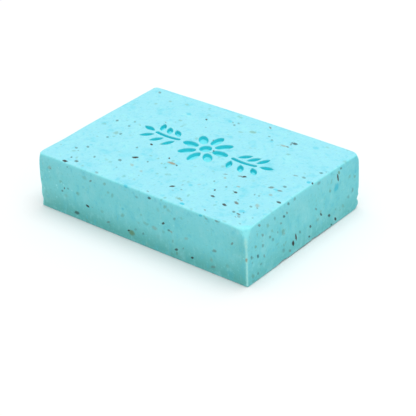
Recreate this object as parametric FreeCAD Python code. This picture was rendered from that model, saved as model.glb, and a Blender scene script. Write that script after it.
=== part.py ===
"""A bar of soap, cast in one piece and pressed with an ornament.

The bar is a block with softened edges. Its upright corners are rounder at the top, where
handling has worn them, than at the foot. The top carries a shallow pressed ornament: a
flower with an eye and a ring of petals, between two leafy twigs. Every mark of it is a
pocket with sloping walls and a flat floor.

Frame: X runs along the bar, Y across it and Z up. The origin is the middle of the flat
bottom face. Sizes are in millimetres and angles in degrees.
"""

import FreeCAD
import Part

import os
from math import cos, degrees, radians, sin, sqrt, tan

from FreeCAD import Vector

# The block
LENGTH = 86.0
WIDTH = 60.0
HEIGHT = 20.0
CORNER_RADIUS_TOP = 2.4  # of the upright corners, seen from above
CORNER_RADIUS_FOOT = 0.8
TOP_EDGE_RADIUS = 0.7
FOOT_EDGE_RADIUS = 0.6

# The pressed ornament as a whole
ORNAMENT_X = 0.6  # its middle, from the middle of the top face
ORNAMENT_Y = 3.4
PRESS_DEPTH = 1.4
WALL_SLOPE = 8.0  # of a pocket's walls, from upright
CUT_ABOVE = 0.5  # how far each cutter stands out of the top face

# The flower
EYE_RADIUS = 2.1
EYE_TO_PETAL = 1.0  # land left between the eye and the petals
PETAL_COUNT = 8
PETAL_LENGTH = 6.1
PETAL_WIDTH = 3.2

# The twigs, one each side of the flower
FLOWER_TO_STEM = 1.6  # land left between the petals and the stem
STEM_LENGTH = 9.2  # between the middles of its round ends
STEM_WIDTH = 1.3
STEM_TURN = 24.0  # how far the stem's direction turns over its length
STEM_TO_LEAF = 0.85  # land left between the stem and a leaf
LEAF_LENGTH = 5.1
LEAF_WIDTH = 2.1
LEAF_ANGLE = 53.0  # between a leaf and the stem
LEAF_PAIRS = 3
FIRST_LEAF = 0.6  # the first pair, from the stem's start
LAST_LEAF = 0.35  # the last pair, from the stem's end

# Worked out from the above
FLOWER_RADIUS = EYE_RADIUS + EYE_TO_PETAL + PETAL_LENGTH
STEM_START = FLOWER_RADIUS + FLOWER_TO_STEM + STEM_WIDTH / 2
STEM_BEND_RADIUS = STEM_LENGTH / radians(STEM_TURN)
LEAF_OFF_STEM = STEM_WIDTH / 2 + STEM_TO_LEAF
LEAF_PITCH = (STEM_LENGTH - FIRST_LEAF - LAST_LEAF) / (LEAF_PAIRS - 1)


def block():
    """The plain block: upright corners that taper, then the rims of its top and foot."""
    body = Part.makeBox(LENGTH, WIDTH, HEIGHT, Vector(-LENGTH / 2, -WIDTH / 2, 0))
    upright = [e for e in body.Edges if e.Vertexes[0].Z != e.Vertexes[1].Z]
    body = body.makeFillet(CORNER_RADIUS_FOOT, CORNER_RADIUS_TOP, upright)
    body = body.makeFillet(TOP_EDGE_RADIUS, edges_at(body, HEIGHT))
    return body.makeFillet(FOOT_EDGE_RADIUS, edges_at(body, 0.0))


def edges_at(body, level):
    """The body's edges that lie at one level."""
    return [e for e in body.Edges if all(abs(v.Z - level) < 1e-4 for v in e.Vertexes)]


def circle_wire(radius, shrink):
    """A circle round the origin, drawn inwards by shrink."""
    return Part.Wire(Part.makeCircle(radius - shrink))


def petal_wire(shrink):
    """An ellipse that starts at the origin and lies along X, drawn inwards by shrink."""
    middle = Vector(PETAL_LENGTH / 2, 0, 0)
    return Part.Wire(Part.Ellipse(middle, PETAL_LENGTH / 2 - shrink, PETAL_WIDTH / 2 - shrink).toShape())


def leaf_wire(shrink):
    """Two arcs that meet in points, from the origin along X, drawn inwards by shrink."""
    arc_radius = (LEAF_LENGTH**2 + LEAF_WIDTH**2) / (4 * LEAF_WIDTH)
    half_width = LEAF_WIDTH / 2 - shrink
    half_length = sqrt((arc_radius - shrink) ** 2 - (arc_radius - LEAF_WIDTH / 2) ** 2)
    middle = LEAF_LENGTH / 2
    root = Vector(middle - half_length, 0, 0)
    tip = Vector(middle + half_length, 0, 0)
    upper = Part.Arc(root, Vector(middle, half_width, 0), tip)
    lower = Part.Arc(tip, Vector(middle, -half_width, 0), root)
    return Part.Wire([upper.toShape(), lower.toShape()])


def stem_point(along, aside=0.0):
    """(point, heading) at a distance along the stem's bent middle line, and to its left."""
    heading = radians(-STEM_TURN / 2) + along / STEM_BEND_RADIUS
    first = radians(-STEM_TURN / 2)
    x = STEM_START + STEM_BEND_RADIUS * (sin(heading) - sin(first)) - aside * sin(heading)
    y = STEM_BEND_RADIUS * (cos(first) - cos(heading)) + aside * cos(heading)
    return Vector(x, y, 0), heading


def stem_wire(shrink):
    """A bent slot with round ends, drawn inwards by shrink."""
    half = STEM_WIDTH / 2 - shrink
    (near_left, start), (near_right, _) = stem_point(0, half), stem_point(0, -half)
    (far_left, end), (far_right, _) = stem_point(STEM_LENGTH, half), stem_point(STEM_LENGTH, -half)
    near_end = stem_point(0)[0] - Vector(cos(start), sin(start), 0) * half
    far_end = stem_point(STEM_LENGTH)[0] + Vector(cos(end), sin(end), 0) * half
    arcs = (
        Part.Arc(near_right, stem_point(STEM_LENGTH / 2, -half)[0], far_right),
        Part.Arc(far_right, far_end, far_left),
        Part.Arc(far_left, stem_point(STEM_LENGTH / 2, half)[0], near_left),
        Part.Arc(near_left, near_end, near_right),
    )
    return Part.Wire([arc.toShape() for arc in arcs])


def pocket(outline):
    """The cutter for one mark. outline(shrink) is the mark's rim, which the walls' slope
    draws in below the top face and lets out above it."""
    slope = tan(radians(WALL_SLOPE))
    above = outline(-CUT_ABOVE * slope)
    above.translate(Vector(0, 0, HEIGHT + CUT_ABOVE))
    floor = outline(PRESS_DEPTH * slope)
    floor.translate(Vector(0, 0, HEIGHT - PRESS_DEPTH))
    return Part.makeLoft([floor, above], True, True)


def placed(cutter, place, turn):
    """A copy of the cutter, turned about Z and moved."""
    return cutter.transformed(
        FreeCAD.Placement(place, FreeCAD.Rotation(Vector(0, 0, 1), turn)).toMatrix()
    )


def flower():
    """The eye, and the petals round it."""
    eye = pocket(lambda shrink: circle_wire(EYE_RADIUS, shrink))
    petal = placed(pocket(petal_wire), Vector(EYE_RADIUS + EYE_TO_PETAL, 0, 0), 0)
    middle = Vector(0, 0, 0)
    return [eye] + [placed(petal, middle, 360 / PETAL_COUNT * k) for k in range(PETAL_COUNT)]


def twig():
    """The twig on the right: its stem, pairs of leaves along it and one at its end."""
    leaf = pocket(leaf_wire)
    marks = [pocket(stem_wire)]
    for pair in range(LEAF_PAIRS):
        for side in (1, -1):
            root, heading = stem_point(FIRST_LEAF + pair * LEAF_PITCH, side * LEAF_OFF_STEM)
            marks.append(placed(leaf, root, degrees(heading) + side * LEAF_ANGLE))
    root, heading = stem_point(STEM_LENGTH)
    root += Vector(cos(heading), sin(heading), 0) * LEAF_OFF_STEM
    return marks + [placed(leaf, root, degrees(heading))]


def ornament():
    """Every cutter of the pressed ornament, in its place on the top."""
    right = twig()
    left = [mark.mirror(Vector(0, 0, 0), Vector(1, 0, 0)) for mark in right]
    middle = Vector(ORNAMENT_X, ORNAMENT_Y, 0)
    return [placed(mark, middle, 0) for mark in flower() + right + left]


def soap_bar():
    """The whole bar: the block with the ornament pressed into its top."""
    return block().cut(ornament())


os.makedirs("parts", exist_ok=True)
soap_bar().exportStep("parts/soap_bar.step")
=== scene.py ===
"""The look of a bar of soap: turquoise, flecked with herbs and pressed with a flower.

The bar is one closed surface. Its wall is a profile carried round a rounded outline, its
top and underside are plates that fill the ends of that wall, and each mark of the pressed
ornament is a small profile carried round the mark's own outline. A soft unevenness of cut
and handling is then laid over the whole, always inwards, so that the bar keeps its size.

Shapes are worked out in millimetres, in the frame of the part: X along the bar, Y across
it and Z up. Points of a flat outline are complex numbers, x + iy.
"""

import bmesh
import bpy
import numpy as np
from mathutils import Matrix, Vector
from mathutils.geometry import delaunay_2d_cdt


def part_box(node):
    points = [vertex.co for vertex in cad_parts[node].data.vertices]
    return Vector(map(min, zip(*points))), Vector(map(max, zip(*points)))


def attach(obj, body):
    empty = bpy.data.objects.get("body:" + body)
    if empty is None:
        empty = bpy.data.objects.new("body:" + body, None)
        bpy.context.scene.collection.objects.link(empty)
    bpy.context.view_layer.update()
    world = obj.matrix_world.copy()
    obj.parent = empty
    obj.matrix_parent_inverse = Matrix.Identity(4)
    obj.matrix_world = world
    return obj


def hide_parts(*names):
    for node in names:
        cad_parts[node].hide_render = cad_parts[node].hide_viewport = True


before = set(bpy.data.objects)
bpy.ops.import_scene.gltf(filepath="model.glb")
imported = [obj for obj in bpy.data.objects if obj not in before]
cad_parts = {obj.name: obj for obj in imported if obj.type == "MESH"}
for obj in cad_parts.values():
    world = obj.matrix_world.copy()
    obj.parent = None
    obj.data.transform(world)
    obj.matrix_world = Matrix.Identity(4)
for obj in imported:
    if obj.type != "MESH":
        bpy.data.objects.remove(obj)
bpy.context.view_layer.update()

MM = 0.001
low, high = (np.array(corner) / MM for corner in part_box("soap_bar"))
LENGTH, WIDTH, HEIGHT = high - low
CHANCE = np.random.default_rng(19)

# The block's edges, in millimetres. Corners go front, right, back, left.
TOP_CORNERS = np.array([3.4, 1.1, 1.5, 1.8])
FOOT_CORNERS = np.array([0.6, 0.3, 0.4, 0.25])
CORNER_FALL = 2.2  # how fast the worn top corner narrows down the edge
TOP_EDGE = 0.55
FOOT_EDGE = 0.4
EDGE_STEPS = 6  # rows round the top or foot edge
CORNER_STEPS = 10  # columns round a corner
SHARPEST = 0.1  # the least radius that a corner keeps as the outline is drawn inwards
MESH_STEP = 0.9  # between the points of a large flat
COLLAR = 0.08  # flat strip that keeps a rounding's shading off the flat beside it
WELD = 0.004  # points closer than this become one
SLIVER = 1e-5  # and edges shorter than this are taken out

# The pressed ornament, as it is in the solid
ORNAMENT_AT = 0.6 + 3.4j
PRESS_DEPTH = 1.4
WALL_SLOPE = np.tan(np.radians(8.0))
EYE_RADIUS = 2.1
EYE_TO_PETAL = 1.0
PETAL_COUNT = 8
PETAL_LENGTH = 6.1
PETAL_WIDTH = 3.2
FLOWER_TO_STEM = 1.6
STEM_LENGTH = 9.2
STEM_WIDTH = 1.3
STEM_TURN = np.radians(24.0)
STEM_TO_LEAF = 0.85
LEAF_LENGTH = 5.1
LEAF_WIDTH = 2.1
LEAF_ANGLE = np.radians(53.0)
LEAF_PAIRS = 3
FIRST_LEAF = 0.6
LAST_LEAF = 0.35
LIP = 0.2  # rounding of each mark's rim and of the foot of its walls

# How finely each mark is drawn
EYE_POINTS = 40
PETAL_POINTS = 44
LEAF_POINTS = 16  # along each of its two arcs
STEM_POINTS = 24  # along each of its two sides
STEM_END_STEPS = 8  # round each of its two ends
LIP_STEPS = 4  # down the lip, and again round the foot of the wall
WALL_STEPS = 3
FLOOR_STEPS = 4

STEM_START = EYE_RADIUS + EYE_TO_PETAL + PETAL_LENGTH + FLOWER_TO_STEM + STEM_WIDTH / 2
STEM_BEND = STEM_LENGTH / STEM_TURN
LEAF_OFF_STEM = STEM_WIDTH / 2 + STEM_TO_LEAF


# Meshes

FILL_INSIDE = 1  # the triangulation keeps only what its edges enclose
MERGE = 1e-6  # and joins points closer than this


def tube_faces(rows, columns):
    """Triangles of a closed band: point r * columns + c joins the next column and row."""
    here = np.arange((rows - 1) * columns).reshape(rows - 1, columns)
    after = np.roll(here, -1, axis=1)
    above, above_after = here + columns, after + columns
    corners = [here, after, above_after, here, above_after, above]
    return np.stack(corners, axis=-1).reshape(-1, 3)


def plate(rings, level):
    """A flat fill at one level: inside the first ring and outside the others. Points lie
    on the rings and on a grid of equal triangles between them, joined by a constrained
    Delaunay triangulation. Returns points and triangles."""
    on_rings = np.concatenate(rings)
    count = [len(ring) for ring in rings]
    starts = np.cumsum([0] + count[:-1])
    edges = [
        (start + i, start + (i + 1) % n)
        for start, n in zip(starts, count)
        for i in range(n)
    ]
    across = np.arange(-LENGTH / 2, LENGTH / 2, MESH_STEP)
    up = np.arange(-WIDTH / 2, WIDTH / 2, MESH_STEP * np.sqrt(3) / 2)
    grid = across[None] + 1j * up[:, None]
    grid[1::2] += MESH_STEP / 2
    grid = grid.ravel()
    edge = rings[0]
    inside = (abs(grid.real) < edge.real.max() - MESH_STEP / 2) & (
        abs(grid.imag) < edge.imag.max() - MESH_STEP / 2
    )
    grid = grid[inside]
    gap = np.array([abs(on_rings - point).min() for point in grid])
    holes = [within(grid, ring) for ring in rings[1:]]
    taken = np.any(holes, axis=0) if holes else np.zeros(len(grid), bool)
    grid = grid[(gap > MESH_STEP / 2) & ~taken]
    points = np.concatenate([on_rings, grid])
    flat = [Vector((p.real, p.imag)) for p in points]
    found, _, triangles, _, _, _ = delaunay_2d_cdt(flat, edges, [], FILL_INSIDE, MERGE)
    triangles = np.array(triangles)
    owner = np.repeat(np.arange(len(rings)), count)
    owner = np.concatenate([owner, np.zeros(len(grid), int)])
    owners = owner[triangles]
    in_hole = (owners[:, 0] > 0) & np.all(owners == owners[:, :1], axis=1)
    flat = np.array([tuple(p) for p in found])
    return np.column_stack([flat, np.full(len(flat), level)]), triangles[~in_hole]


def within(points, ring):
    """Which points lie inside a ring: those that it winds round."""
    turns = np.angle((np.roll(ring, -1)[None] - points[:, None]) / (ring[None] - points[:, None]))
    return abs(turns.sum(axis=1)) > np.pi


# The block

def corner_radius(level):
    """The radius of each upright corner at a column of levels: it widens towards the top
    as exp(-(drop from top) / fall)."""
    worn = np.exp(-(HEIGHT - level) / CORNER_FALL)
    return FOOT_CORNERS + (TOP_CORNERS - FOOT_CORNERS) * worn


def bar_ring(inset, level):
    """The bar's outline at a level, drawn inwards by inset: a rectangle with a rounding
    of its own at each corner. For each corner the angle turns by 90 degrees, and then the
    share runs along the side to the next corner. Takes columns of insets and levels, and
    gives a row for each."""
    inset, level = np.atleast_2d(inset).T, np.atleast_2d(level).T
    radius = np.maximum(corner_radius(level) - inset, SHARPEST)
    signs = np.array([1 - 1j, 1 + 1j, -1 + 1j, -1 - 1j])
    middle = signs.real * (LENGTH / 2 - inset - radius)
    middle = middle + 1j * signs.imag * (WIDTH / 2 - inset - radius)
    pieces = []
    for corner in range(4):
        start = (corner - 1) * np.pi / 2
        turn = np.exp(1j * (start + np.linspace(0, np.pi / 2, CORNER_STEPS + 1)))
        pieces.append(middle[:, [corner]] + radius[:, [corner]] * turn)
        after = (corner + 1) % 4
        side = WIDTH if corner % 2 == 0 else LENGTH
        share = np.linspace(0, 1, int(side / MESH_STEP) + 1)[1:-1]
        begin = pieces[-1][:, -1:]
        end = middle[:, [after]] + radius[:, [after]] * turn[-1]
        pieces.append(begin + (end - begin) * share)
    return np.concatenate(pieces, axis=1)


def wall():
    """The bar's wall and its two rounded edges: the outline carried up a profile of inset
    and level. Returns points, triangles and the two end rings."""
    turn = np.linspace(0, np.pi / 2, EDGE_STEPS + 1)
    rise = np.linspace(FOOT_EDGE, HEIGHT - TOP_EDGE, int(HEIGHT / MESH_STEP))[1:-1]
    inset = [[FOOT_EDGE + COLLAR], FOOT_EDGE * (1 - np.sin(turn)), 0 * rise]
    inset += [TOP_EDGE * (1 - np.cos(turn)), [TOP_EDGE + COLLAR]]
    level = [[0], FOOT_EDGE * (1 - np.cos(turn)), rise]
    level += [HEIGHT - TOP_EDGE * (1 - np.sin(turn)), [HEIGHT]]
    inset, level = np.concatenate(inset), np.concatenate(level)
    rings = bar_ring(inset, level)
    rows, columns = rings.shape
    height = np.repeat(level, columns)
    points = np.column_stack([rings.real.ravel(), rings.imag.ravel(), height])
    return points, tube_faces(rows, columns), rings[0], rings[-1]


# The pressed ornament

def round_outline(shrink):
    """A circle round the origin, drawn inwards by shrink."""
    turn = np.linspace(0, 2 * np.pi, EYE_POINTS, endpoint=False)
    return (EYE_RADIUS - shrink) * np.exp(1j * turn)


def petal_outline(shrink):
    """An ellipse from the origin along X, drawn inwards by shrink."""
    turn = np.linspace(0, 2 * np.pi, PETAL_POINTS, endpoint=False)
    long = PETAL_LENGTH / 2 - shrink
    wide = PETAL_WIDTH / 2 - shrink
    return PETAL_LENGTH / 2 + long * np.cos(turn) + 1j * wide * np.sin(turn)


def leaf_outline(shrink):
    """Two arcs that meet in points, from the origin along X, drawn inwards by shrink."""
    arc = (LEAF_LENGTH**2 + LEAF_WIDTH**2) / (4 * LEAF_WIDTH)
    sunk = arc - LEAF_WIDTH / 2  # from an arc's middle to the leaf's
    radius = arc - shrink
    reach = np.arccos(sunk / radius)
    swing = np.linspace(1, -1, LEAF_POINTS + 1)[:-1]
    upper = radius * np.exp(1j * (np.pi / 2 + reach * swing)) - 1j * sunk
    return LEAF_LENGTH / 2 + np.concatenate([upper, -upper], axis=-1)


def stem_point(along, aside=0.0):
    """A point at a distance along the stem's bent middle line, and to its left."""
    heading = along / STEM_BEND - STEM_TURN / 2
    start = np.exp(-1j * STEM_TURN / 2)
    return STEM_START + (STEM_BEND - aside) * -1j * np.exp(1j * heading) + 1j * STEM_BEND * start


def stem_outline(shrink):
    """A bent slot with round ends, drawn inwards by shrink."""
    half = STEM_WIDTH / 2 - shrink
    along = np.linspace(0, STEM_LENGTH, STEM_POINTS)
    turn = np.linspace(-np.pi / 2, np.pi / 2, STEM_END_STEPS + 1)[1:-1]
    far = np.exp(1j * (turn + STEM_TURN / 2))
    near = -np.exp(1j * (turn - STEM_TURN / 2))
    sides = [stem_point(along, -half), stem_point(STEM_LENGTH) + half * far]
    sides += [stem_point(along[::-1], half), stem_point(0.0) + half * near]
    return np.concatenate(sides, axis=-1)


def marks():
    """Every mark of the ornament, as (outline of shrink, half its width)."""
    def put(outline, place=0j, turn=0.0, mirror=False):
        def placed(shrink):
            points = place + outline(shrink) * np.exp(1j * turn)
            points = -points.conj()[..., ::-1] if mirror else points
            return points + ORNAMENT_AT
        return placed

    found = [(put(round_outline), EYE_RADIUS)]
    for k in range(PETAL_COUNT):
        turn = 2 * np.pi / PETAL_COUNT * k
        root = (EYE_RADIUS + EYE_TO_PETAL) * np.exp(1j * turn)
        found.append((put(petal_outline, root, turn), PETAL_WIDTH / 2))
    for mirror in (False, True):
        found.append((put(stem_outline, mirror=mirror), STEM_WIDTH / 2))
        end = STEM_TURN / 2
        tip = stem_point(STEM_LENGTH) + LEAF_OFF_STEM * np.exp(1j * end)
        found.append((put(leaf_outline, tip, end, mirror), LEAF_WIDTH / 2))
        for along in np.linspace(FIRST_LEAF, STEM_LENGTH - LAST_LEAF, LEAF_PAIRS):
            heading = along / STEM_BEND - STEM_TURN / 2
            for side in (1, -1):
                root = stem_point(along, side * LEAF_OFF_STEM)
                turn = heading + side * LEAF_ANGLE
                found.append((put(leaf_outline, root, turn, mirror), LEAF_WIDTH / 2))
    return found


def pocket(outline, half):
    """One pressed mark: its outline carried down a profile of shrink and depth, from a
    collar on the top, over a rounded lip, down a sloping wall and round its foot to the
    middle of the floor. Returns points, triangles and the collar's ring."""
    turn = np.linspace(0, np.pi / 2 - np.arctan(WALL_SLOPE), LIP_STEPS + 1)
    lip_shrink, lip_depth = LIP * (np.sin(turn) - 1), LIP * (1 - np.cos(turn))
    fall = PRESS_DEPTH - 2 * lip_depth[-1]
    start = lip_shrink[-1]
    foot_shrink = start + fall * WALL_SLOPE + (lip_shrink[-1] - lip_shrink[::-1])
    foot_depth = PRESS_DEPTH - lip_depth[::-1]
    floor = np.linspace(foot_shrink[-1], half, FLOOR_STEPS + 1)[1:]
    middle = np.linspace(0, 1, WALL_STEPS + 1)[1:-1]
    shrink = [[lip_shrink[0] - COLLAR], lip_shrink, start + middle * fall * WALL_SLOPE]
    shrink += [foot_shrink, floor]
    depth = [[0], lip_depth, lip_depth[-1] + middle * fall, foot_depth, 0 * floor + PRESS_DEPTH]
    shrink, depth = np.concatenate(shrink), np.concatenate(depth)
    rings = outline(shrink[:, None])
    rows, columns = rings.shape
    level = HEIGHT - np.repeat(depth, columns)
    points = np.column_stack([rings.real.ravel(), rings.imag.ravel(), level])
    return points, tube_faces(rows, columns), rings[0]


# The soft unevenness of a bar that was cut and handled

BOW_BACK = 0.5  # the back stands out this much more at mid-length than at its ends
BOW_FRONT = 0.1  # and so does the front
BOW_ACROSS = 0.05  # and each end, at the middle of its width
HOLLOW_END = 0.75  # the right-hand end is hollow by about this much, most along its top
RIPPLE = 0.08  # the greatest depth of the ripple
RIPPLE_ON_TOP = 0.8  # the share of it that the top has
UNDERSIDE_ARCH = 0.35  # how far the underside lifts off at the right-hand end
DENTS = (  # middle, inward direction, depth and reach of each knock
    ((43.0, 30.0, 3.4), (-1, -1, 0), 0.6, 1.1),
    ((43.0, 30.0, 6.2), (-1, -1, 0), 0.25, 0.8),
    ((-43.0, -30.0, 7.5), (1, 1, 0), 0.2, 1.6),
    ((-43.0, -30.0, 2.4), (1, 1, 0), 0.3, 1.2),
    ((43.0, -30.0, 9.7), (-1, 1, 0), 0.22, 0.7),
    ((43.0, -12.0, 0.3), (-1, 0, 1), 0.3, 1.5),
    ((43.0, 4.0, 0.3), (-1, 0, 1), 0.22, 1.2),
    ((12.0, -30.0, 19.8), (0, 1, -1), 0.16, 1.6),
    ((43.0, -30.0, 20.0), (-1, 1, -2), 1.3, 2.8),
    ((43.0, 30.0, 20.0), (-1, -1, -1), 0.6, 1.4),
    ((43.0, 30.0, 0.0), (-1, -1, 1), 0.6, 1.3),
    ((-43.0, -30.0, 20.0), (1, 1, -2), 0.2, 2.2),
    ((-43.0, -18.0, 20.0), (1, 0, 0), 0.38, 8.5),
)


def ripple(points, wavelength, seed):
    """A smooth uneven field from 0 to 1: the mean of sine waves in different directions."""
    draw = np.random.default_rng(seed)
    ways = draw.normal(size=(8, 3))
    ways /= np.linalg.norm(ways, axis=1, keepdims=True)
    waves = 2 * np.pi / (wavelength * draw.uniform(0.7, 1.5, 8))
    phases = draw.uniform(0, 2 * np.pi, 8)
    return 0.5 + np.sin(points @ (ways * waves[:, None]).T + phases).mean(axis=1) / 2


def handled(points):
    """Points with the unevenness laid on. Each coordinate shrinks towards the middle by a
    slack that varies smoothly over its face, and dents push in as Gaussian bells."""
    x, y, z = points.T
    along, across, up = 2 * x / LENGTH, 2 * y / WIDTH, z / HEIGHT
    hollow = np.where(x > 0, HOLLOW_END * (1 - across**2) * (1 - across / 2) * up**2, 0)
    end_slack = BOW_ACROSS * across**2 + hollow + RIPPLE * ripple(points, wavelength=17, seed=1)
    side_slack = np.where(y > 0, BOW_BACK, BOW_FRONT) * along**2
    side_slack += RIPPLE * ripple(points, wavelength=15, seed=3)
    top_slack = RIPPLE * ripple(points, wavelength=21, seed=5) * RIPPLE_ON_TOP
    arch = UNDERSIDE_ARCH * np.clip(along, 0, 1) ** 2 * (1 - across**2) ** 2 * (1 - up) ** 4
    moved = np.column_stack([
        x - end_slack * along,
        y - side_slack * across,
        z - top_slack * up + arch,
    ])
    for middle, inward, depth, reach in DENTS:
        away = np.linalg.norm(points - middle, axis=1)
        inward = np.array(inward) / np.linalg.norm(inward)
        moved += depth * np.exp(-((away / reach) ** 2))[:, None] * inward
    return moved


# The herb flecks

SIDES = {  # each face's near left corner, and its two directions, as seen from outside
    "top": ((-1, -1, 1), (1, 0, 0), (0, 1, 0)),
    "front": ((-1, -1, 0), (1, 0, 0), (0, 0, 1)),
    "right": ((1, -1, 0), (0, 1, 0), (0, 0, 1)),
    "back": ((1, 1, 0), (-1, 0, 0), (0, 0, 1)),
    "left": ((-1, 1, 0), (0, -1, 0), (0, 0, 1)),
    "underside": ((-1, 1, 0), (1, 0, 0), (0, -1, 0)),
}
KINDS = {  # colour, strength, half length and how wide for its length
    "black": ((0.014, 0.016, 0.010), (0.90, 1.00), (0.60, 0.95), (0.50, 0.62)),
    "grey": ((0.030, 0.075, 0.055), (0.35, 0.75), (0.45, 0.70), (0.60, 0.80)),
    "stalk": ((0.045, 0.045, 0.045), (0.75, 0.90), (1.00, 1.40), (0.28, 0.36)),
    "brown": ((0.120, 0.090, 0.050), (0.40, 0.75), (0.50, 0.95), (0.42, 0.62)),
    "tan": ((0.310, 0.230, 0.095), (0.35, 0.60), (0.60, 1.20), (0.50, 0.70)),
    "sliver": ((0.330, 0.220, 0.090), (0.60, 0.80), (1.40, 1.80), (0.30, 0.38)),
    "olive": ((0.130, 0.260, 0.100), (0.25, 0.50), (0.60, 1.10), (0.60, 0.85)),
    "faint": ((0.120, 0.380, 0.290), (0.15, 0.45), (0.45, 1.00), (0.50, 0.90)),
    "blue": ((0.004, 0.560, 0.730), (0.40, 0.85), (0.60, 1.10), (0.60, 0.85)),
    "pale": ((0.400, 0.940, 0.980), (0.40, 0.65), (0.30, 0.45), (0.60, 0.90)),
}
DARK_KINDS = ("black", "grey", "stalk", "brown")  # these lie over the others
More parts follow.
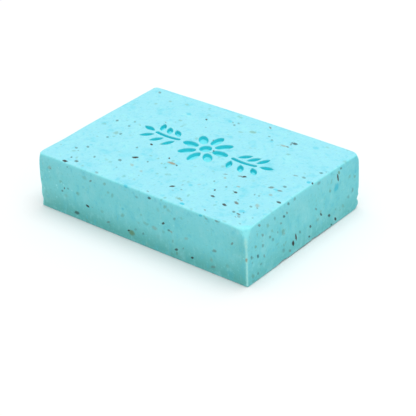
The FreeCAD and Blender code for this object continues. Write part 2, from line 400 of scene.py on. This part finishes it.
PLACED = {  # place from each face's near left corner, half length, turn and strength
    ("top", "black"): (
        (11.6, 0.8, 0.95, 0, 1), (28.75, 15.7, 0.95, 35, 1), (50.8, 8.1, 0.85, 35, 1),
        (65.2, 10.5, 0.85, -10, 0.9), (71.4, 8.5, 0.9, -20, 0.95), (84.5, 19.2, 0.85, -10, 0.9),
        (27.2, 25.5, 0.65, -20, 1), (65.6, 25.8, 0.85, 30, 1), (85.8, 34.9, 0.6, -50, 0.9),
        (65.4, 52.8, 1, 0, 0.85), (69.6, 16.5, 0.7, -10, 0.95), (63.3, 13.9, 0.6, -55, 0.85),
        (38.2, 21.5, 0.5, -45, 0.85), (30.8, 49.7, 0.6, -35, 0.85), (46.9, 33.6, 0.6, -45, 0.75),
        (43.2, 19.3, 0.5, -45, 0.8),
    ),
    ("top", "grey"): (
        (11.6, 3.85, 0.5, -50, 0.7), (14.8, 2.8, 0.8, -5, 0.75), (8.35, 9.5, 0.7, -30, 0.6),
        (10.2, 8.5, 0.35, 0, 0.5), (11.1, 12.2, 0.75, -40, 0.6), (17.6, 8.35, 0.7, -50, 0.55),
        (25.85, 11.5, 0.8, -30, 0.65), (24.7, 21.2, 0.6, -60, 0.55), (11.8, 21.1, 0.65, -50, 0.55),
        (33.95, 15.85, 0.5, -50, 0.6), (54.5, 8.1, 0.5, -40, 0.45), (52.9, 10.7, 0.5, 90, 0.3),
        (52.6, 6.2, 0.5, 0, 0.3), (59.7, 18.1, 0.5, -45, 0.5), (65.1, 17.5, 0.55, -50, 0.55),
        (75.4, 18.7, 0.5, -60, 0.45), (77, 18.9, 0.6, -50, 0.4), (78.9, 12.2, 0.6, -30, 0.55),
        (76.4, 6.8, 0.7, -20, 0.65), (79.2, 8, 0.4, -30, 0.45), (83.3, 7.2, 0.5, -50, 0.3),
        (82, 2.4, 0.5, 0, 0.3), (6.5, 31.9, 0.65, -50, 0.65), (12.5, 31.2, 0.7, -45, 0.5),
        (18.8, 33.5, 0.5, -30, 0.4), (13.9, 25.3, 0.65, -50, 0.6), (80.2, 28, 0.75, -20, 0.65),
        (81.4, 36.2, 0.8, -10, 0.55), (84.1, 41.8, 0.7, 0, 0.65), (55.5, 52, 0.55, 0, 0.55),
        (57.7, 50.6, 0.6, -50, 0.5), (41.4, 53.6, 0.7, -45, 0.4), (41, 51.8, 0.8, -45, 0.45),
        (34.2, 45.1, 0.4, 0, 0.35), (66.5, 34.1, 0.4, -50, 0.35), (73.1, 13.3, 0.4, -45, 0.35),
        (28.2, 7.3, 0.5, -40, 0.3), (85, 43.3, 0.4, -45, 0.4),
    ),
    ("top", "brown"): (
        (73.8, 11.5, 1.05, -20, 0.8), (68.7, 16.7, 0.5, -10, 0.55), (78.4, 6.5, 0.8, -15, 0.85),
        (79.2, 5.5, 0.95, -45, 0.45), (78.6, 4.7, 0.5, -30, 0.45), (81.1, 12.6, 0.55, -40, 0.55),
        (64.4, 25.4, 0.85, 30, 0.65), (59.8, 23.7, 0.7, 25, 0.55), (77, 25.2, 0.95, 25, 0.7),
        (80.4, 25.1, 0.85, 10, 0.7), (78.6, 35.7, 0.95, 20, 0.5), (4.4, 56.8, 0.9, -35, 0.6),
        (51.9, 57.3, 0.7, -30, 0.7), (64.8, 49.7, 0.7, -20, 0.65), (39.5, 53, 0.6, -45, 0.45),
        (42.2, 39.3, 0.6, -40, 0.6), (25.3, 1, 0.8, -30, 0.45), (46.5, 1.3, 0.6, -20, 0.5),
        (41.2, 16.1, 0.6, -60, 0.4), (20.9, 40.2, 0.5, -40, 0.45), (12, 34.7, 0.7, -50, 0.4),
        (68.3, 2.6, 0.7, -30, 0.5),
    ),
    ("top", "stalk"): ((64.5, 52.3, 1.25, -72, 0.6),),
    ("top", "sliver"): ((40.9, 19.5, 1.6, 0, 0.8), (63.3, 49.5, 1.4, 3, 0.55)),
    ("top", "tan"): (
        (68.1, 19.8, 0.7, 0, 0.55), (80.2, 13.8, 1.1, -45, 0.45),
        (58.7, 2.9, 0.6, -10, 0.55), (61.1, 21.8, 0.8, -40, 0.45),
        (68.5, 34.8, 0.7, 0, 0.3), (31.2, 11.3, 1, -35, 0.4), (36.3, 9.9, 0.8, -40, 0.35),
        (79.6, 21.4, 0.9, -30, 0.45), (14.4, 3.4, 0.5, -60, 0.4), (57, 13.8, 0.7, 60, 0.25),
        (52.4, 56.8, 0.5, -30, 0.4), (37.9, 22, 0.4, -45, 0.45),
    ),
    ("top", "olive"): (
        (57.5, 3.4, 0.95, -10, 0.6), (12.2, 25, 1.2, -60, 0.4),
        (49.2, 51.4, 1.3, 5, 0.5), (38.4, 17.5, 0.6, -40, 0.4), (35.4, 19.5, 0.5, -30, 0.4),
        (32.2, 19.5, 0.6, 0, 0.3), (68.1, 45.7, 0.8, 0, 0.35), (9, 49.3, 0.8, -50, 0.3),
        (18.5, 1.7, 0.7, -20, 0.3), (8.6, 19.5, 0.6, 0, 0.25), (11.9, 53.5, 0.8, -30, 0.35),
        (24, 44.2, 0.8, 0, 0.35), (45.7, 49.1, 1, 0, 0.3), (18.3, 54.7, 1, -20, 0.3),
        (4.6, 27.7, 0.8, -50, 0.3), (22, 9.2, 1, -30, 0.2), (13.2, 4.7, 0.8, -60, 0.3),
        (56.5, 3.4, 0.8, -60, 0.3), (38, 4.6, 0.8, -40, 0.2), (53.5, 1.3, 0.7, -30, 0.35),
    ),
    ("top", "blue"): (
        (60.2, 1.5, 0.9, 0, 0.9), (55.1, 12, 0.8, -20, 0.5), (78.2, 8.5, 1.1, 0, 0.6),
        (38.3, 0.1, 0.8, -10, 0.6), (51.8, 1.8, 1, -20, 0.3), (23.3, 49.5, 1, -15, 0.6),
        (38.2, 53.2, 1.1, -30, 0.55), (58.3, 49.7, 0.8, -40, 0.5), (72.7, 54.4, 1.3, -20, 0.45),
        (84.5, 34.6, 0.8, -50, 0.8), (79, 24.9, 0.9, 0, 0.6), (10.9, 13.95, 0.6, -20, 0.45),
        (33.4, 11.2, 0.8, -20, 0.3), (68.3, 8.5, 0.5, -50, 0.4), (74.5, 24.5, 1, 0, 0.25),
        (7.2, 27.4, 1, -30, 0.2), (66.3, 49.5, 0.6, -40, 0.3), (4.7, 40.3, 1, 0, 0.25),
    ),
    ("front", "black"): (
        (11, 10, 0.4, 70, 0.85), (21, 6.7, 0.7, -10, 1), (48.1, 18.7, 0.7, 18, 0.8),
        (53.3, 11.4, 0.6, 35, 0.9), (38.4, 3.6, 0.5, 30, 0.95), (58.2, 3.6, 0.7, 30, 0.85),
        (64.5, 2.9, 0.65, 25, 0.95), (15.8, 2.4, 1.1, 12, 0.7),
    ),
    ("front", "grey"): (
        (9.9, 8.7, 0.55, 25, 0.6), (12.6, 10.4, 0.5, 20, 0.45), (13.2, 18.6, 0.5, 30, 0.35),
        (58, 14.6, 0.65, 30, 0.45), (44.6, 4.6, 0.55, 40, 0.45), (42.8, 17.3, 0.8, 0, 0.3),
        (41.4, 5, 0.7, 30, 0.3), (55.5, 9.6, 0.55, 10, 0.65),
    ),
    ("front", "brown"): (
        (23.2, 16.7, 0.75, 30, 0.6), (29.8, 3.7, 0.8, 20, 0.55), (61, 5, 0.45, 60, 0.5),
        (73.5, 8.6, 0.9, 20, 0.55), (80.5, 13.7, 0.65, 50, 0.6), (74.8, 19.5, 0.75, 0, 0.6),
        (70.8, 19, 0.7, 0, 0.35), (72.8, 2.6, 1, 20, 0.45), (5.3, 15.5, 0.6, 20, 0.4),
        (23, 6.9, 0.4, 0, 0.3),
    ),
    ("front", "tan"): (
        (4.9, 15.8, 1, 30, 0.35), (49.5, 8.4, 1.2, 0, 0.35), (56.4, 9.4, 0.6, 0, 0.45),
        (62.4, 9.1, 0.9, 20, 0.3), (85.8, 9.6, 0.8, 90, 0.7),
    ),
    ("front", "olive"): (
        (39.7, 3.2, 1.2, 15, 0.8), (16.9, 10, 0.8, 20, 0.45), (29.3, 17.6, 0.8, 30, 0.4),
        (54.4, 17.7, 0.8, 50, 0.4), (36.2, 8.4, 0.9, 45, 0.4), (72.2, 4.9, 0.9, 90, 0.35),
        (30.6, 14.9, 0.7, 20, 0.3), (20.5, 17, 1.2, 0, 0.25), (58.3, 2.3, 0.6, 90, 0.55),
        (45.6, 8.8, 0.8, 0, 0.3), (27.3, 6.8, 0.8, 0, 0.25), (44.2, 11.3, 0.6, 20, 0.25),
        (78.4, 5, 0.8, 90, 0.25), (11.5, 7.5, 1, 20, 0.2), (42.9, 8, 0.6, 20, 0.2),
    ),
    ("front", "blue"): (
        (38.5, 19.6, 0.8, 0, 0.6), (68.6, 19.4, 0.7, 10, 0.75), (36.5, 10.9, 0.6, 30, 0.5),
        (19.7, 13.3, 0.8, 0, 0.3), (63.8, 10.6, 1, 0, 0.25),
    ),
    ("front", "pale"): (
        (9.8, 11.6), (10.8, 11.3), (7.5, 10), (4.5, 14.2), (14.3, 10.3), (7, 5.5), (1.6, 7),
        (9, 17.2), (7.7, 9.2), (2.4, 11.2), (55.9, 13), (57.5, 12), (51.8, 10.6), (84.7, 9.9),
    ),
    ("right", "black"): (
        (23.3, 4, 1, -78, 1), (46.3, 1.8, 0.8, -50, 0.95),
        (38.4, 7.3, 0.75, -50, 0.85), (42.8, 4.8, 0.8, -40, 0.85), (32.5, 5.7, 0.7, -50, 0.8),
        (31.8, 2.2, 0.6, -35, 0.75), (5.4, 8.5, 0.75, -60, 0.7), (19.3, 15.6, 0.7, -35, 0.75),
        (44.1, 0.7, 0.5, -40, 0.7),
    ),
    ("right", "stalk"): ((48, 16.3, 1.25, -80, 1), (24.8, 5.6, 1.15, -80, 1)),
    ("right", "grey"): (
        (22, 18.7, 0.65, -50, 0.6), (25.2, 18.9, 0.7, -35, 0.4), (14.7, 17.1, 0.7, -60, 0.35),
        (8, 10.9, 0.7, -55, 0.45), (11.8, 12, 0.75, -50, 0.42), (13.2, 10.5, 0.75, -50, 0.42),
        (2.3, 9.5, 0.75, -60, 0.55), (27, 6.3, 0.7, -55, 0.5), (18.3, 4, 0.9, -50, 0.35),
        (5.3, 2.4, 0.6, -45, 0.45), (6.8, 5, 0.6, 0, 0.4), (15.7, 11.8, 0.5, -45, 0.35),
        (2.5, 7.6, 0.5, 90, 0.3), (49.8, 18.8, 0.6, -30, 0.65), (56.2, 8.2, 0.9, -80, 0.35),
        (53.8, 6.6, 0.9, -40, 0.3),
    ),
    ("right", "brown"): (
        (6.8, 18.5, 0.8, -40, 0.62), (8.2, 14.5, 0.75, -45, 0.5), (20.9, 16.1, 0.6, -60, 0.55),
        (21.6, 2.1, 0.8, -40, 0.48), (35.8, 10.5, 0.75, -45, 0.5), (8.5, 7, 0.8, -60, 0.45),
        (37.8, 18.8, 1, -15, 0.35), (17.6, 14, 0.7, -30, 0.45), (3, 9.2, 0.5, -50, 0.4),
    ),
    ("right", "tan"): ((18.9, 9.9, 0.7, -45, 0.4), (38.3, 8.5, 0.6, 90, 0.35)),
    ("right", "olive"): (
        (4.4, 12.3, 0.7, -40, 0.5), (11, 16.4, 0.8, -60, 0.4), (48.6, 17.8, 0.7, -60, 0.7),
        (43.6, 13.4, 0.7, -50, 0.45), (57.3, 12.6, 0.8, -45, 0.4), (2.7, 2.7, 1, -45, 0.4),
        (36.5, 6.2, 1, 0, 0.3), (5.5, 16.1, 0.6, -45, 0.3), (13, 13.6, 0.7, -45, 0.3),
        (54.5, 13.8, 0.8, -45, 0.3), (18.5, 10.5, 1.3, -60, 0.45),
    ),
    ("right", "blue"): (
        (47.1, 13.2, 1.5, 70, 0.7), (57.8, 14.3, 0.8, 90, 0.45), (44.8, 7.8, 1, 0, 0.3),
        (9.3, 1.4, 0.5, -45, 0.4), (39.8, 13.9, 0.9, 0, 0.25),
    ),
}
SCATTER = {  # how many more of each kind, over the faces not seen
    "black": 34, "grey": 70, "brown": 50, "tan": 26, "olive": 60, "blue": 40, "pale": 20,
}
FAINT = 240  # how many faint ones, over all the faces
FIELD = 5.0  # a fleck reaches only faces nearer than this, in its own half lengths
NOWHERE = 9.0  # the place that a face without a fleck is given


def on_side(name, u, v):
    """The point of a face at (u, v) from its near left corner, and the face's axes."""
    corner, right, up = (np.array(v, float) for v in SIDES[name])
    size = np.array([LENGTH / 2, WIDTH / 2, HEIGHT])
    return corner * size + u * right + v * up, right, up


def fleck(side, kind, u, v, reach=None, turn=None, strength=None):
    """A fleck as (middle, axes that measure in its own half lengths, colour and strength).
    What isn't given is drawn at random, within what its kind allows."""
    colour, strengths, halves, narrow = KINDS[kind]
    middle, right, up = on_side(side, u, v)
    reach = reach or CHANCE.uniform(*halves)
    turn = CHANCE.uniform(0, np.pi) if turn is None else np.radians(turn)
    strength = strength or CHANCE.uniform(*strengths)
    width = reach * CHANCE.uniform(*narrow)
    long = right * np.cos(turn) + up * np.sin(turn)
    wide = up * np.cos(turn) - right * np.sin(turn)
    axes = np.column_stack([long / reach, wide / width, np.cross(right, up) / width])
    return middle, axes, (*colour, strength)


def flecks():
    """(kind, fleck) for the placed flecks, the scattered ones that fill the faces not seen,
    and the faint ones."""
    found = [
        (kind, fleck(side, kind, *spot))
        for (side, kind), spots in PLACED.items()
        for spot in spots
    ]
    hidden = {"back": (LENGTH, HEIGHT), "left": (WIDTH, HEIGHT), "underside": (LENGTH, WIDTH)}
    seen = {"front": (LENGTH, HEIGHT), "right": (WIDTH, HEIGHT), "top": (LENGTH, WIDTH)}
    for kind, count in SCATTER.items():
        found += scattered(kind, count, hidden)
    return found + scattered("faint", FAINT, hidden | seen)


def scattered(kind, count, spans):
    """Flecks at random over some faces, as many on each as its area asks."""
    area = np.array([a * b for a, b in spans.values()])
    sides = CHANCE.choice(list(spans), count, p=area / area.sum())
    return [(kind, fleck(side, kind, *CHANCE.uniform(0, 1, 2) * spans[side])) for side in sides]


def corner_attribute(mesh, name, kind, values):
    """A value for each corner of each face."""
    field = "color" if kind == "FLOAT_COLOR" else "vector"
    mesh.attributes.new(name, kind, "CORNER").data.foreach_set(field, values.ravel())


def set_flecks(mesh, points, triangles, layer, found):
    """Gives each face the fleck that lies nearest to it, and each corner of the face its
    place measured from that fleck's middle, in the fleck's own half lengths. The place is
    linear over a face, so the material can draw an outline finer than the mesh."""
    centres = points[triangles].mean(axis=1)
    nearest = np.full(len(centres), FIELD)
    place = np.full((len(centres), 3, 3), NOWHERE)
    colour = np.zeros((len(centres), 3, 4))
    for middle, axes, tint in found:
        away = np.linalg.norm((centres - middle) @ axes, axis=1)
        closer = away < nearest
        nearest[closer] = away[closer]
        place[closer] = (points[triangles[closer]] - middle) @ axes
        colour[closer] = tint
    corner_attribute(mesh, layer + "_place", "FLOAT_VECTOR", place)
    corner_attribute(mesh, layer + "_colour", "FLOAT_COLOR", colour)


# The bar

def closed_bar():
    """The block and its pressed marks, welded to one closed mesh of triangles."""
    sheets = [wall()]
    collars = []
    for outline, half in marks():
        points, triangles, collar = pocket(outline, half)
        sheets.append((points, triangles))
        collars.append(collar)
    foot_ring, top_ring = sheets[0][2:]
    top = plate([top_ring] + collars, HEIGHT)
    underside = plate([foot_ring], 0.0)
    sheets += [top, (underside[0], underside[1][:, ::-1])]
    starts = np.cumsum([0] + [len(sheet[0]) for sheet in sheets[:-1]])
    points = np.concatenate([sheet[0] for sheet in sheets])
    triangles = np.concatenate([sheet[1] + start for sheet, start in zip(sheets, starts)])
    mesh = bpy.data.meshes.new("soap_bar_cast")
    mesh.from_pydata(points.tolist(), [], triangles.tolist())
    work = bmesh.new()
    work.from_mesh(mesh)
    bmesh.ops.remove_doubles(work, verts=work.verts, dist=WELD)
    bmesh.ops.dissolve_degenerate(work, edges=work.edges, dist=SLIVER)
    bmesh.ops.triangulate(work, faces=work.faces)
    bmesh.ops.recalc_face_normals(work, faces=work.faces)
    work.to_mesh(mesh)
    work.free()
    return mesh


def soap_bar_cast():
    """The whole bar: its mesh, the flecks, the wear and the painted light and shade that the
    material reads, and then the unevenness that moves its points."""
    mesh = closed_bar()
    points = np.empty(len(mesh.vertices) * 3)
    mesh.vertices.foreach_get("co", points)
    points = points.reshape(-1, 3)
    triangles = np.empty(len(mesh.loops), np.int32)
    mesh.loops.foreach_get("vertex_index", triangles)
    triangles = triangles.reshape(-1, 3)
    found = flecks()
    dark = [one for kind, one in found if kind in DARK_KINDS]
    soft = [one for kind, one in found if kind not in DARK_KINDS]
    set_flecks(mesh, points, triangles, "dark", dark)
    set_flecks(mesh, points, triangles, "soft", soft)
    set_wear_and_painted_light(mesh, points)
    mesh.vertices.foreach_set("co", (handled(points) * MM).ravel())
    mesh.shade_smooth()
    mesh.update()
    bar = bpy.data.objects.new("soap_bar_cast", mesh)
    bpy.context.scene.collection.objects.link(bar)
    return bar


MARKS_MARGIN = 5.0  # every pressed mark lies further in than this
RIM = 0.15  # how far from an edge its pale rim, partly wear and partly painted highlight, is at full strength
RIM_FADE = 0.2  # and over what distance it dies away beyond that
RUBBED_HIGHLIGHT_FADE = 0.14  # share of a corner's rounding over which its rubbed paleness, partly wear and partly painted highlight, comes in
RUBBED_HIGHLIGHT_DROP = 5.0  # how far down the upright corners are rubbed and painted pale
HIGHLIGHT_REACH_FRONT = 0.55  # reach of the painted highlight by the front upright edge, on either face
HIGHLIGHT_REACH_RIGHT = 0.42
HIGHLIGHT_WIDEST = 1.7  # the most that the painted highlight widens with its corner, towards the top


def set_wear_and_painted_light(mesh, points):
    """Gives each point three values. Edge is how pale it is at an edge, partly wear and partly
    painted highlight, from its distances to the faces of the block, since near an edge the
    second smallest is small too; towards the top the upright corners are rubbed and painted
    pale as far as their rounding goes. Pressed is how deep it lies in a mark, which the
    material uses for painted shade. The third is how near it lies to the front upright edge,
    where a painted highlight is the palest."""
    x, y, z = points.T
    ends, sides = LENGTH / 2 - abs(x), WIDTH / 2 - abs(y)
    second = np.sort([ends, sides, np.minimum(z, HEIGHT - z)], axis=0)[1]
    in_marks = (np.minimum(ends, sides) > MARKS_MARGIN) & (z > HEIGHT / 2)
    pressed = in_marks * (HEIGHT - z) / PRESS_DEPTH
    corner = np.where(x > 0, np.where(y < 0, 0, 1), np.where(y > 0, 2, 3))
    rounding = corner_radius(z[:, None])[np.arange(len(z)), corner]
    # the upright corners pale towards the top, partly wear and partly painted highlight
    rubbed_and_highlight = np.clip((1 - (ends + sides) / rounding) / RUBBED_HIGHLIGHT_FADE, 0, 1)
    rubbed_and_highlight *= np.exp(-((HEIGHT - z) / RUBBED_HIGHLIGHT_DROP) ** 2)
    edge = np.maximum(np.exp(-np.maximum(second - RIM, 0) / RIM_FADE), rubbed_and_highlight)
    reach = np.minimum(rounding / FOOT_CORNERS[0], HIGHLIGHT_WIDEST)
    away = (ends / HIGHLIGHT_REACH_FRONT + sides / HIGHLIGHT_REACH_RIGHT) / reach
    # painted highlight by the front upright edge
    front_edge_highlight = (corner == 0) * np.exp(-(away**2))
    for name, values in (("edge", edge), ("pressed", pressed), ("front_edge_highlight", front_edge_highlight)):
        mesh.attributes.new(name, "FLOAT", "POINT").data.foreach_set("value", values)


# Materials

class Value:
    """A socket that numbers can be worked out from with plain operators."""

    def __init__(self, nodes, socket):
        self.nodes = nodes
        self.socket = socket

    def maths(self, operation, *values):
        return self.nodes.add("ShaderNodeMath", {"operation": operation}, dict(enumerate(values)))

    def __add__(self, other):
        return self.maths("ADD", self, other)

    def __sub__(self, other):
        return self.maths("SUBTRACT", self, other)

    def __rsub__(self, other):
        return self.maths("SUBTRACT", other, self)

    def __mul__(self, other):
        return self.maths("MULTIPLY", self, other)

    def __truediv__(self, other):
        return self.maths("DIVIDE", self, other)

    __radd__ = __add__
    __rmul__ = __mul__

    def fade(self, start, end):
        """0 at start and 1 at end, smooth between."""
        return self.nodes.add(
            "ShaderNodeMapRange",
            {"interpolation_type": "SMOOTHSTEP"},
            {"Value": self, "From Min": start, "From Max": end},
        )


class Nodes:
    """The node tree of one material or world."""

    def __init__(self, owner):
        owner.use_nodes = True
        self.tree = owner.node_tree
        self.tree.nodes.clear()

    def add(self, kind, settings=None, inputs=None, output=0):
        """A node: its type, its settings, and the values or links of its sockets."""
        node = self.tree.nodes.new(kind)
        for name, value in (settings or {}).items():
            setattr(node, name, value)
        for name, value in (inputs or {}).items():
            if isinstance(value, Value):
                self.tree.links.new(value.socket, node.inputs[name])
            else:
                node.inputs[name].default_value = value
        return Value(self, node.outputs[output])

    def finish(self, kind, surface):
        """The output node, with the shader or light that it shows."""
        node = self.tree.nodes.new(kind)
        self.tree.links.new(surface.socket, node.inputs["Surface"])

    def mix(self, share, first, second, blend="MIX"):
        """A colour between two others. Sockets 0, 6 and 7 are factor and colours."""
        return self.add(
            "ShaderNodeMix",
            {"data_type": "RGBA", "blend_type": blend},
            {0: share, 6: first, 7: second},
            2,
        )

    def attribute(self, name, output):
        return self.add("ShaderNodeAttribute", {"attribute_name": name}, {}, output)

    def noise(self, place, scale, detail, roughness=0.5):
        """Noise from 0 to 1 over a place in metres, its scale in waves per millimetre."""
        inputs = {"Vector": place, "Scale": scale / MM, "Detail": detail, "Roughness": roughness}
        return self.add("ShaderNodeTexNoise", {"normalize": True}, inputs)


SOAP = (0.205, 0.765, 0.810, 1)
SOAP_PALE = (0.330, 0.830, 0.860, 1)  # its clouds and specks
SOAP_DEEP = (0.060, 0.600, 0.740, 1)
SOAP_OLIVE = (0.170, 0.520, 0.430, 1)
SOAP_UPPER_PAINTED_LIGHT = (0.255, 0.840, 0.935, 1)  # painted light: paler high on the sides
# painted sheen: the top paler and whiter
SOAP_TOP_PAINTED_SHEEN = (0.285, 0.735, 0.840, 1)
SOAP_FOOT_PAINTED_SHADE = (0.090, 0.480, 0.440, 1)  # painted shade: darker low on the sides
SOAP_MARK_WALL_PAINTED_SHADE = (0.012, 0.680, 0.760, 1)  # painted shade on the walls of the marks
# pale edges: partly wear, partly painted highlight
SOAP_WEAR_AND_HIGHLIGHT = (0.300, 0.910, 0.950, 1)
# painted highlight by the front upright edge
SOAP_FRONT_EDGE_HIGHLIGHT = (0.490, 0.950, 0.880, 1)
FLECK_EDGE = 1.35  # where a fleck ends, in its own half lengths
FLECK_UNEVEN = 1.1  # how much its outline wanders


def with_flecks(nodes, colour, layer, bits):
    """The colour with one layer of flecks over it, and how much of a fleck is there. Each
    is a soft spot with an uneven outline, crisper the stronger it is."""
    spread = nodes.attribute(layer + "_place", "Vector")
    spread = nodes.add("ShaderNodeVectorMath", {"operation": "LENGTH"}, {0: spread}, "Value")
    strength = nodes.attribute(layer + "_colour", "Alpha")
    spread = spread + (bits - 0.5) * FLECK_UNEVEN
    fleck = spread.fade(FLECK_EDGE, strength * 0.7 + 0.05) * strength
    return nodes.mix(fleck, colour, nodes.attribute(layer + "_colour", "Color")), fleck


def soap_material():
    """Turquoise soap: softly clouded and flecked, with a waxy half gloss. Light and shade are
    painted into its colour: a painted sheen that makes its top paler, painted light high on
    the sides and painted shade low on them, on the right-hand end, on the front's right end
    and on the walls of the marks, a painted olive tint of reflected light on the left, and pale
    edges that are partly wear and partly painted highlight, with a painted highlight by the
    front upright edge."""
    material = bpy.data.materials.new("turquoise_soap")
    nodes = Nodes(material)
    place = nodes.add("ShaderNodeTexCoord", {}, {}, "Object")
    along, across, level = (
        nodes.add("ShaderNodeSeparateXYZ", {}, {"Vector": place}, axis) / MM for axis in "XYZ"
    )
    right = along.fade(LENGTH / 2 - 1, LENGTH / 2 - 0.2)  # on the right-hand end

    # Each mix lays a colour over what came before: its share fades in between two levels
    # or places in millimetres, and the last number is its greatest strength.
    # Painted light: the sides grow paler towards the top.
    colour = nodes.mix(level.fade(12, HEIGHT - 0.5) * 0.5, SOAP, SOAP_UPPER_PAINTED_LIGHT)
    # Painted sheen: the top is paler and whiter.
    colour = nodes.mix(level.fade(HEIGHT - 0.4, HEIGHT - 0.15), colour, SOAP_TOP_PAINTED_SHEEN)
    # Painted shade: the sides darken towards the foot, less on the right-hand end.
    colour = nodes.mix(level.fade(10, 0.5) * (0.8 - right * 0.25), colour, SOAP_FOOT_PAINTED_SHADE)
    painted_shade_by_corner = (1 - right) * along.fade(32, 42) * level.fade(19, 14)  # painted shade on the front's right end, below the top
    colour = nodes.mix(painted_shade_by_corner * 0.3, colour, SOAP_FOOT_PAINTED_SHADE)
    # Painted shade: the right-hand end is deeper in colour, the more so towards its back.
    colour = nodes.mix(right * (0.08 + across.fade(20, 29) * 0.15), colour, SOAP_DEEP)
    # Painted reflected light: an olive tint on the left-hand part of the sides, below the top.
    colour = nodes.mix(along.fade(-25, -43) * level.fade(19.6, 17) * 0.12, colour, SOAP_OLIVE)

    # Clouds and spots, drawn out upwards, and fine specks
    stretch = {0: place, 1: (1, 1, 0.6)}
    streak = nodes.add("ShaderNodeVectorMath", {"operation": "MULTIPLY"}, stretch)
    cloud = nodes.noise(streak, 0.2, 3)
    spot = nodes.noise(streak, 0.6, 2)
    fine = nodes.noise(place, 1.3, 3, 0.6)
    colour = nodes.mix(cloud.fade(0.52, 0.75) * 0.4, colour, SOAP_PALE)
    colour = nodes.mix(cloud.fade(0.45, 0.25) * 0.4, colour, SOAP_DEEP)
    colour = nodes.mix(spot.fade(0.55, 0.75) * 0.4, colour, SOAP_DEEP)
    colour = nodes.mix(spot.fade(0.45, 0.28) * 0.35, colour, SOAP_PALE)
    colour = nodes.mix(fine.fade(0.56, 0.70) * 0.3, colour, SOAP_OLIVE)
    colour = nodes.mix(fine.fade(0.44, 0.30) * 0.35, colour, SOAP_PALE)

    # Pale edges and rubbed upright corners: partly wear, partly painted highlight.
    edge = nodes.attribute("edge", "Fac")
    worn = edge * nodes.noise(place, 0.8, 3).fade(0.25, 0.6)
    colour = nodes.mix(worn * 0.8, colour, SOAP_WEAR_AND_HIGHLIGHT)
    # Painted shade: the walls of the marks darker and more saturated, their floors less so.
    pressed = nodes.attribute("pressed", "Fac")
    wall = pressed.fade(0.0, 0.35) - pressed.fade(0.9, 1.0) * 0.7
    colour = nodes.mix(wall * 0.85, colour, SOAP_MARK_WALL_PAINTED_SHADE)

    bits = nodes.noise(place, 1.6, 2, 0.6)
    # Painted highlight: a pale line along the front upright edge.
    front_edge_highlight = nodes.attribute("front_edge_highlight", "Fac") * (0.4 + bits)
    colour = nodes.mix(front_edge_highlight.fade(0.1, 0.75) * 0.85, colour, SOAP_FRONT_EDGE_HIGHLIGHT)
    colour, _ = with_flecks(nodes, colour, "soft", bits)
    colour, fleck = with_flecks(nodes, colour, "dark", bits)

    grain = nodes.noise(place, 3.0, 3, 0.6)
    roughness = 0.42 + grain * 0.12 + worn * 0.08 + fleck * 0.1
    height = nodes.noise(place, 0.5, 3) * 0.03 + grain * 0.012 - fleck * 0.02
    bump = nodes.add("ShaderNodeBump", {}, {"Height": height, "Distance": MM, "Strength": 0.8})
    shader = nodes.add("ShaderNodeBsdfPrincipled", {}, {
        "Base Color": colour,
        "Roughness": roughness,
        "Normal": bump,
        "IOR": 1.47,
        "Subsurface Weight": 0.15,
        "Subsurface Radius": (1.0, 1.6, 1.7),
        "Subsurface Scale": MM,
    })
    nodes.finish("ShaderNodeOutputMaterial", shader)
    return material


# The studio

FLOOR_SEEN = 0.93  # the floor's colour as the camera sees it
FLOOR_BOUNCE = 0.76  # and as it lights the bar
FLOOR_SPAN = 6.0
FLOOR_DROP = 0.02  # its depth below the bar, in millimetres, so that no faces coincide
SKY = 0.62  # the surround's strength as it lights the bar
EYE = Vector((0.29004, -0.34031, 0.25946))
AIM = Vector((0.00228, 0.00134, -0.00076))
ROLL = np.radians(-2.404)
LENS = 135.92
FARTHEST = 20.0  # how far the camera sees


def floor():
    """A white floor, with a shadow."""
    bpy.ops.mesh.primitive_plane_add(size=FLOOR_SPAN, location=(0, 0, -FLOOR_DROP * MM))
    ground = bpy.context.object
    ground.name = "floor"
    material = bpy.data.materials.new("floor_paper")
    nodes = Nodes(material)
    seen = nodes.add("ShaderNodeLightPath", {}, {}, "Is Camera Ray")
    colour = nodes.mix(seen, (*[FLOOR_BOUNCE] * 3, 1), (*[FLOOR_SEEN] * 3, 1))
    shader = nodes.add("ShaderNodeBsdfDiffuse", {}, {"Color": colour})
    nodes.finish("ShaderNodeOutputMaterial", shader)
    ground.data.materials.append(material)


def sky():
    """A plain white surround: full white where it is seen, dimmer where it lights."""
    world = bpy.data.worlds.new("sky")
    bpy.context.scene.world = world
    nodes = Nodes(world)
    seen = [
        nodes.add("ShaderNodeLightPath", {}, {}, name)
        for name in ("Is Camera Ray", "Is Glossy Ray", "Is Transmission Ray")
    ]
    seen = seen[0].maths("MAXIMUM", seen[0].maths("MAXIMUM", seen[0], seen[1]), seen[2])
    strength = SKY + seen * (1 - SKY)
    light = nodes.add("ShaderNodeBackground", {}, {"Color": (1, 1, 1, 1), "Strength": strength})
    nodes.finish("ShaderNodeOutputWorld", light)


def soft_box(name, place, aim, size, power):
    """A square lamp that shines from its place towards its aim."""
    data = bpy.data.lights.new(name, "AREA")
    data.size = size
    data.energy = power
    lamp = bpy.data.objects.new(name, data)
    lamp.location = place
    lamp.rotation_euler = (Vector(aim) - Vector(place)).to_track_quat("-Z", "Y").to_euler()
    bpy.context.scene.collection.objects.link(lamp)


def camera():
    """The photograph's view: a long lens that looks down from the front right."""
    data = bpy.data.cameras.new("camera")
    data.lens = LENS
    data.clip_end = FARTHEST
    eye = bpy.data.objects.new("camera", data)
    look = (AIM - EYE).to_track_quat("-Z", "Y").to_matrix().to_4x4()
    eye.matrix_world = Matrix.Translation(EYE) @ look @ Matrix.Rotation(ROLL, 4, "Z")
    bpy.context.scene.collection.objects.link(eye)
    bpy.context.scene.camera = eye


bar = soap_bar_cast()
bar.data.materials.append(soap_material())
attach(bar, "root")
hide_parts("soap_bar")
floor()
sky()
soft_box("overhead", place=(0.1, 0.1, 1.2), aim=(0, 0, 0), size=1.0, power=9)
camera()
bpy.context.scene.view_settings.view_transform = "Standard"
